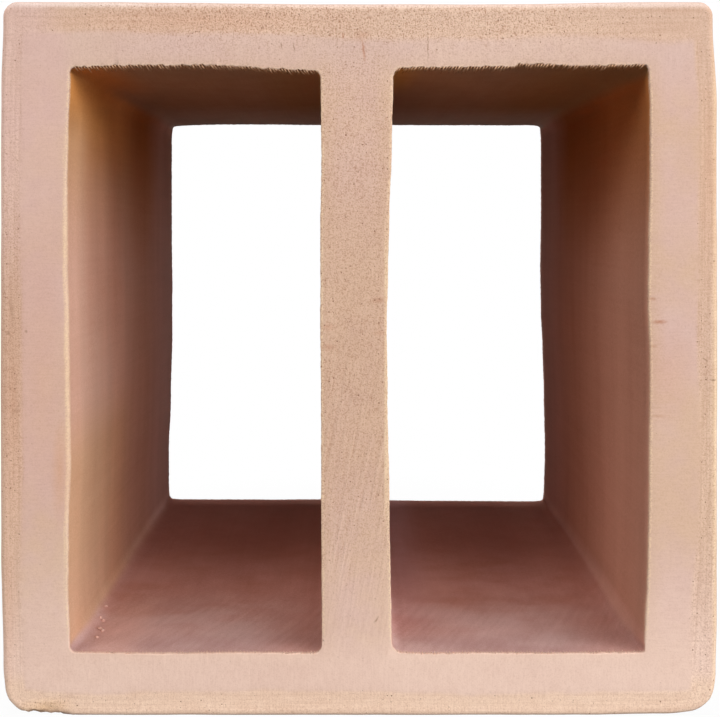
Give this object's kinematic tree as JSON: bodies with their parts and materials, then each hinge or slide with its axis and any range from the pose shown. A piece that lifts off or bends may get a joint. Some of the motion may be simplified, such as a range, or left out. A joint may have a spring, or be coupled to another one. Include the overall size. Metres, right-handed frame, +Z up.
{
  "type": "breeze block",
  "caption": "Square-faced terracotta breeze block with tall rectangular cells side by side, open right through the depth, for laying in ventilated screen walls.",
  "frame": {"origin": "middle of the lower bed face, where the block stands on a level floor", "axes": "+Z up, +X to the right along the face, +Y into the depth along the cells; the pictured cut face looks along -Y"},
  "size_m": [0.2, 0.15, 0.199],
  "materials": {
    "terracotta": "unglazed fired clay, pale pinkish buff, matt, wire-cut and sandy on the cut faces, smooth die skin on the sides and inside the cells"
  },
  "bodies": {
    "root": {"breeze_block": "terracotta"}
  },
  "joints": []
}
